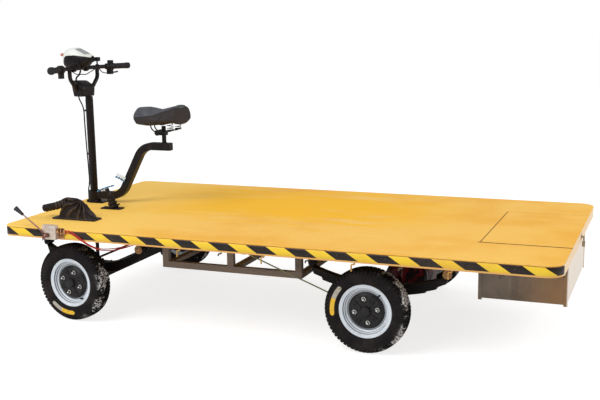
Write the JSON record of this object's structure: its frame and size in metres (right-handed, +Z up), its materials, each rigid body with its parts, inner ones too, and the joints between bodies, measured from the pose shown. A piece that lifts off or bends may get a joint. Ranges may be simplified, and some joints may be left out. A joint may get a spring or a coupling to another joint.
{
  "type": "electric platform cart",
  "caption": "Flat-deck electric cart on sprung axles, steered by a handlebar column, with a saddle seat, a hatch over a rear box and a battery cradle.",
  "frame": {"origin": "on the floor, on the middle plane, halfway along the overall length", "axes": "+X forward, +Y to the cart's left, +Z up"},
  "size_m": [3.3406, 1.677, 1.5925],
  "materials": {
    "tyre": "matt",
    "rim_silver": "satin",
    "black_paint": "satin",
    "deck_yellow": "matt",
    "primer_grey": "matt",
    "bare_steel": "dull",
    "hook_yellow": "satin",
    "dark_red": "satin",
    "black_plastic": "satin",
    "white_plastic": "gloss",
    "grip_rubber": "matt",
    "leather": "satin",
    "cable_green": "matt",
    "cable_red": "satin"
  },
  "bodies": {
    "chassis": {"deck_plate": "deck_yellow", "deck_band": "deck_yellow", "deck_bearers": "primer_grey", "hatch_ledge": "primer_grey", "chassis_rails": "black_paint", "cross_members": "black_paint", "hatch_hinge": "deck_yellow", "hatch_latch": "bare_steel", "box_sides": "bare_steel", "box_ends": "bare_steel", "box_floor": "bare_steel", "box_angles": "bare_steel", "battery_cradle": "primer_grey", "rope_hooks": "hook_yellow", "leaf_springs": "black_paint", "spring_mounts": "black_paint", "axle_clamps": "black_paint", "front_axle_beam": "black_paint", "rear_axle": "dark_red", "drive_motor": "black_paint", "column_housing": "black_paint", "seat_frame": "black_paint", "seat_post": "black_paint", "saddle": "leather", "saddle_springs": "black_paint", "handbrake": "black_plastic", "handbrake_boot": "leather", "foot_pedal": "black_paint", "side_lever": "bare_steel", "side_knob": "black_plastic", "park_cables": "cable_green", "feed_cables": "cable_red", "column_cable": "black_plastic"},
    "hatch": {"hatch_lid": "deck_yellow"},
    "steering": {"steering_shaft": "black_paint", "handlebar": "black_paint", "top_box": "black_plastic", "grips": "grip_rubber", "bar_controls": "black_plastic", "pod_housing": "black_plastic", "pod_cover": "white_plastic", "bar_unit": "black_plastic", "bar_leads": "black_plastic"},
    "knuckle_left": {"knuckle_left": "black_paint"},
    "knuckle_right": {"knuckle_right": "black_paint"},
    "tie_rod": {"tie_rod": "black_paint"},
    "drag_link": {"drag_link": "black_paint"},
    "wheel_front_left": {"tyre_front_left": "tyre", "rim_front_left": "rim_silver", "hub_front_left": "black_paint"},
    "wheel_front_right": {"tyre_front_right": "tyre", "rim_front_right": "rim_silver", "hub_front_right": "black_paint"},
    "wheel_rear_left": {"tyre_rear_left": "tyre", "rim_rear_left": "rim_silver", "hub_rear_left": "black_paint"},
    "wheel_rear_right": {"tyre_rear_right": "tyre", "rim_rear_right": "rim_silver", "hub_rear_right": "black_paint"}
  },
  "joints": [
    {"name": "steering_turn", "type": "hinge", "parent": "chassis", "child": "steering", "pos_m": [1.487, 0, 1], "axis": [0, 0, 1], "range_deg": [-20, 30]},
    {"name": "kingpin_left", "type": "hinge", "parent": "chassis", "child": "knuckle_left", "pos_m": [1.206, 0.545, 0.231], "axis": [0, 0, 1], "range_deg": [-20, 30]},
    {"name": "kingpin_right", "type": "hinge", "parent": "chassis", "child": "knuckle_right", "pos_m": [1.206, -0.545, 0.231], "axis": [0, 0, 1], "range_deg": [-20, 30]},
    {"name": "drag_link_pivot", "type": "hinge", "parent": "steering", "child": "drag_link", "pos_m": [1.37742, 0.00959, 0.158], "axis": [0, 0, 1], "range_deg": [-30, 20]},
    {"name": "tie_rod_pivot", "type": "hinge", "parent": "knuckle_left", "child": "tie_rod", "pos_m": [1.38133, 0.52966, 0.243], "axis": [0, 0, 1], "range_deg": [-30, 20]},
    {"name": "hatch_hinge", "type": "hinge", "parent": "chassis", "child": "hatch", "pos_m": [-1.1675, 0, 0.58225], "axis": [0, 1, 0], "range_deg": [0, 100]},
    {"name": "wheel_front_left_spin", "type": "hinge", "parent": "knuckle_left", "child": "wheel_front_left", "pos_m": [1.21637, 0.66355, 0.231], "axis": [0.0872, 0.9962, 0], "continuous": true},
    {"name": "wheel_front_right_spin", "type": "hinge", "parent": "knuckle_right", "child": "wheel_front_right", "pos_m": [1.19563, -0.66355, 0.231], "axis": [0.0872, 0.9962, 0], "continuous": true},
    {"name": "wheel_rear_left_spin", "type": "hinge", "parent": "chassis", "child": "wheel_rear_left", "pos_m": [-0.62, 0.664, 0.231], "axis": [0, 1, 0], "continuous": true},
    {"name": "wheel_rear_right_spin", "type": "hinge", "parent": "chassis", "child": "wheel_rear_right", "pos_m": [-0.62, -0.664, 0.231], "axis": [0, 1, 0], "continuous": true}
  ],
  "couplings": [
    {"joint": "kingpin_left", "follows": "steering_turn", "ratio": 1},
    {"joint": "kingpin_right", "follows": "steering_turn", "ratio": 1},
    {"joint": "drag_link_pivot", "follows": "steering_turn", "ratio": -1},
    {"joint": "tie_rod_pivot", "follows": "steering_turn", "ratio": -1}
  ]
}
